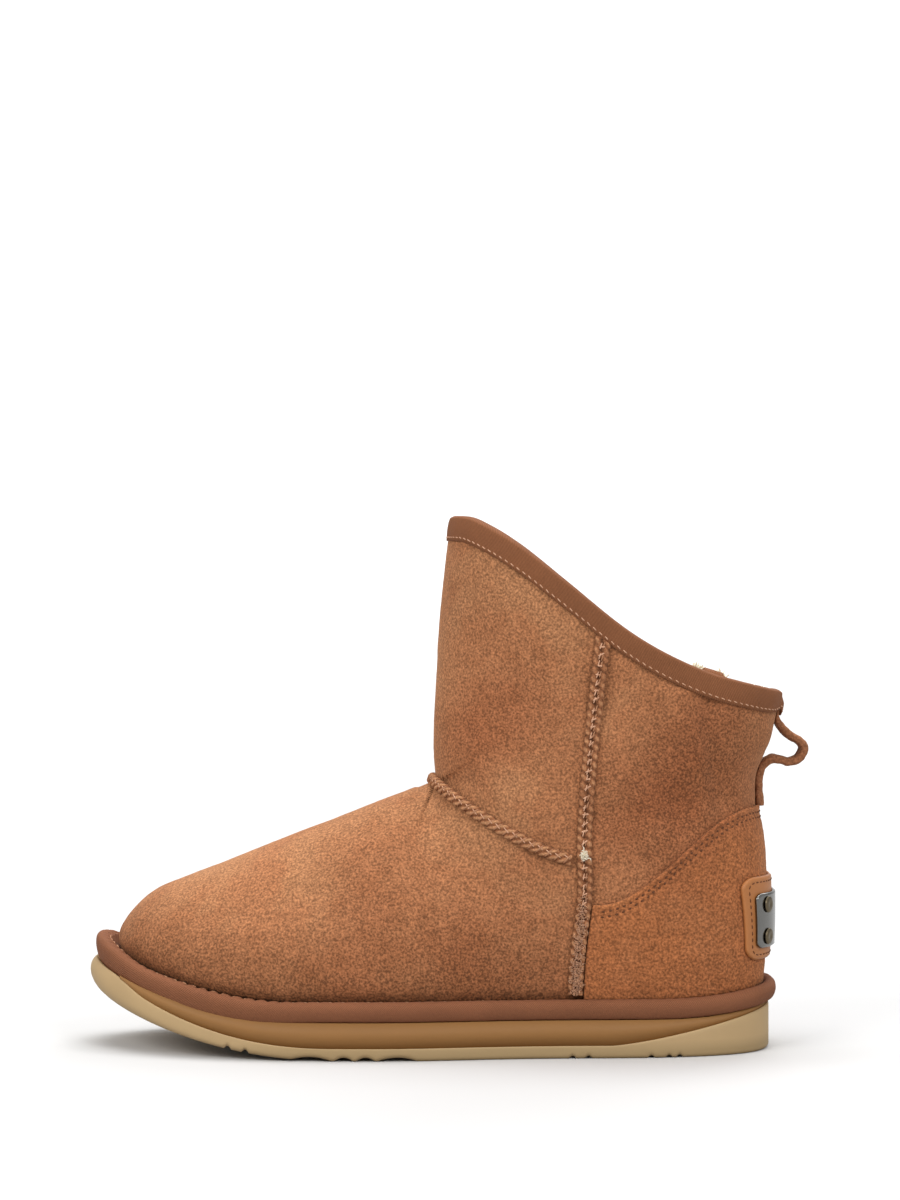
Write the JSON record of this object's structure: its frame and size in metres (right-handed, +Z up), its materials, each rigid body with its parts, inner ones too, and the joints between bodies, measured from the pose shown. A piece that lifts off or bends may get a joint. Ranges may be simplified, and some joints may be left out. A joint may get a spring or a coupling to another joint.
{
  "type": "short sheepskin boot, left foot",
  "caption": "Short suede sheepskin boot with a fleece lining, bound sloping collar, raised side seams, heel counter, riveted heel plate, pull loop and a thick moulded sole.",
  "frame": {"origin": "on the floor plane below the middle of the bounding box, with the boot standing on its sole", "axes": "-X to the toe, +X to the heel, +Y to the inner side of the foot, +Z up"},
  "size_m": [0.2832, 0.1014, 0.2084],
  "materials": {
    "suede": "short-napped suede side of sheepskin, chestnut",
    "counter_suede": "coarser suede, warmer tan",
    "tape": "twill tape, brown",
    "smooth_leather": "smooth tanned leather",
    "fleece": "cream wool",
    "sole_foam": "ochre moulded foam, matt",
    "sole_rubber": "pale khaki moulded rubber, matt",
    "steel": "polished plate",
    "brass": "dull rivet heads"
  },
  "bodies": {
    "root": {"outsole": "sole_rubber", "midsole": "sole_foam", "insole": "fleece", "welt": "tape", "upper": "suede", "collar_binding": "tape", "heel_counter": "counter_suede", "side_seam_outer": "suede", "side_seam_inner": "suede", "vamp_seam": "suede", "heel_patch": "smooth_leather", "heel_plate": "steel", "rivet_outer_upper": "brass", "rivet_outer_lower": "brass", "rivet_inner_upper": "brass", "rivet_inner_lower": "brass", "pull_loop": "suede"}
  },
  "joints": []
}
